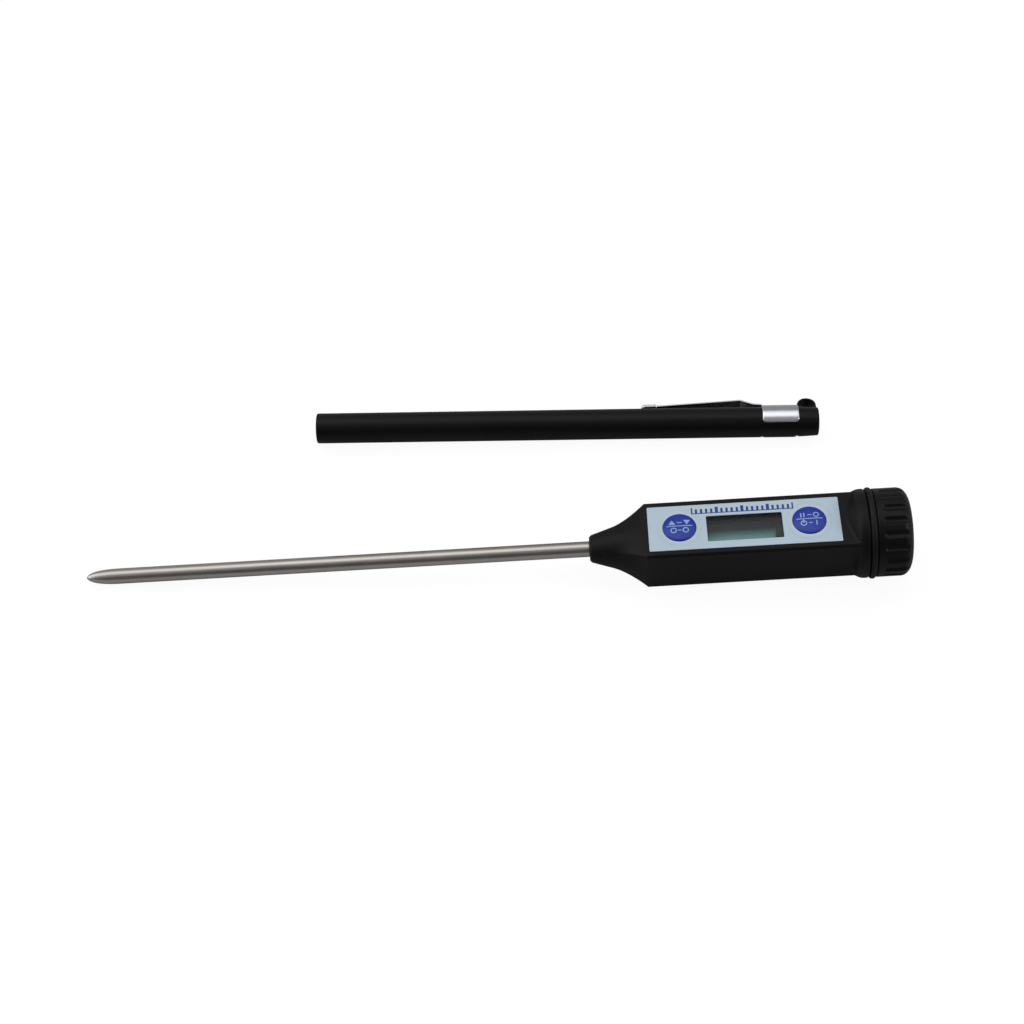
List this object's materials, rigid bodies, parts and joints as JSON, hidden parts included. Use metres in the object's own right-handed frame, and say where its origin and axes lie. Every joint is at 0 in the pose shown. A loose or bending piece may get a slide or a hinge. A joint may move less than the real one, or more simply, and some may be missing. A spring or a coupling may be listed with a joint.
{
  "type": "soil thermometer probe",
  "caption": "Pen-type digital soil thermometer: pointed steel stem on a black housing with display, buttons and screw battery cap, with its separate clip-on stem sheath",
  "frame": {"origin": "the middle of the housing's flat back face", "axes": "+X along the stem's axis toward the battery cap, +Z out of the label, +Y toward the long edge beside which the sheath lies"},
  "size_m": [0.1948, 0.0575, 0.0215],
  "materials": {
    "black_plastic": "fine-grained satin ABS moulding",
    "gloss_black": "glossy black resin",
    "label": "printed light blue film, satin",
    "blue_plastic": "deep blue moulded key, soft gloss",
    "clear": "clear polycarbonate",
    "lcd": "grey-green reflective display",
    "black_rubber": "matt black elastomer",
    "board": "green solder mask",
    "chip_part": "fired ceramic",
    "steel": "polished stainless steel",
    "bright_metal": "bright nickel plate",
    "brass": "turned brass",
    "sensor": "glass bead",
    "red_sleeve": "red wire sleeve",
    "white_sleeve": "white wire sleeve"
  },
  "bodies": {
    "thermometer": {"housing": "black_plastic", "label_film": "label", "display_window": "clear", "lcd_panel": "lcd", "lcd_frame": "black_plastic", "lcd_contact_strip": "black_rubber", "circuit_board": "board", "chip_blob": "gloss_black", "timing_crystal": "steel", "capacitor_1": "chip_part", "capacitor_2": "chip_part", "resistor_1": "chip_part", "resistor_2": "chip_part", "stem_tube": "steel", "thermistor_bead": "sensor", "sensor_lead_red": "red_sleeve", "sensor_lead_white": "white_sleeve", "stem_bush": "brass", "nose_seal": "black_rubber", "battery_holder": "black_plastic", "battery_cell": "bright_metal", "negative_spring": "steel", "positive_strip": "steel", "seal_ring": "black_rubber", "left_switch_body": "gloss_black", "right_switch_body": "gloss_black"},
    "left_key": {"left_button": "blue_plastic", "left_switch_plunger": "black_rubber"},
    "right_key": {"right_button": "blue_plastic", "right_switch_plunger": "black_rubber"},
    "contact_plate": {"cap_contact": "steel"},
    "cap": {"battery_cap": "black_plastic"},
    "sheath": {"sheath_tube": "black_plastic", "clip_band": "bright_metal"},
    "clip": {"clip_arm": "bright_metal"}
  },
  "joints": [
    {"name": "left_button_press", "type": "slide", "parent": "thermometer", "child": "left_key", "axis": [0, 0, -1], "range_m": [0, 0.00035]},
    {"name": "right_button_press", "type": "slide", "parent": "thermometer", "child": "right_key", "axis": [0, 0, -1], "range_m": [0, 0.00035]},
    {"name": "cap_travel", "type": "slide", "parent": "thermometer", "child": "contact_plate", "axis": [1, 0, 0], "range_m": [0, 0.006]},
    {"name": "cap_unscrew", "type": "hinge", "parent": "contact_plate", "child": "cap", "pos_m": [0.0335, 0, 0.00625], "axis": [1, 0, 0], "range_deg": [0, 1079]},
    {"name": "sheath_draw", "type": "slide", "parent": "thermometer", "child": "sheath", "axis": [0.9986, -0.0206, -0.0478], "range_m": [-0.178, 0]},
    {"name": "clip_flex", "type": "hinge", "parent": "sheath", "child": "clip", "pos_m": [0.008, 0.04351, -0.00037], "axis": [-0.0506, -0.1726, -0.9837], "range_deg": [0, 6]}
  ],
  "couplings": [
    {"joint": "cap_travel", "follows": "cap_unscrew", "m_per_rad": 0.00031831}
  ]
}
